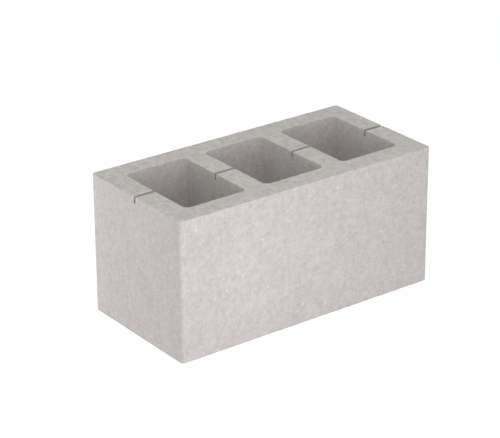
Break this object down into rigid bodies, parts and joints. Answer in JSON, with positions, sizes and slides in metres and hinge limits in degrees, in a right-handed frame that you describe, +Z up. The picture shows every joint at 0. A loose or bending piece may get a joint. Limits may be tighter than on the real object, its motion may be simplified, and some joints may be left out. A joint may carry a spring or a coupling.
{
  "type": "hollow concrete block",
  "caption": "Hollow concrete wall block with tapered cells right through it and a narrow splitting groove along the top of its webs, laid in mortar to build walls.",
  "frame": {"origin": "middle of the bottom bed, on the surface that the block stands on", "axes": "+X along the length, +Y across the width, +Z up from the bottom bed to the grooved top bed"},
  "size_m": [0.39, 0.19, 0.188],
  "materials": {
    "concrete": "matte"
  },
  "bodies": {
    "root": {"concrete_block": "concrete"}
  },
  "joints": []
}
